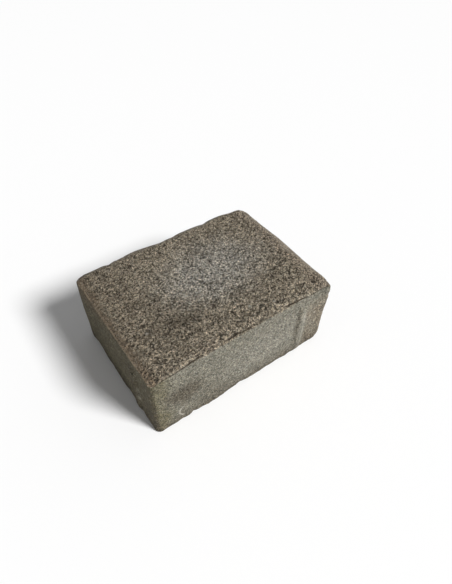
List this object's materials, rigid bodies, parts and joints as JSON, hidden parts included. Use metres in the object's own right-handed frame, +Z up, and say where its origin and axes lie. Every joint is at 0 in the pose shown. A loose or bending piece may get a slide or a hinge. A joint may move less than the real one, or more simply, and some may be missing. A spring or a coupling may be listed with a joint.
{
  "type": "concrete paving stone",
  "caption": "Solid rectangular concrete paving stone with a rolled-over top edge and cast-on spacer nibs on its sides.",
  "frame": {"origin": "centre of the footprint, on the flat bottom face", "axes": "+X along the long side, +Y across the short side, +Z up through the worn top face"},
  "size_m": [0.162, 0.119, 0.07],
  "materials": {
    "concrete": "coarse, open-pored and matt"
  },
  "bodies": {
    "root": {"paving_stone": "concrete"}
  },
  "joints": []
}
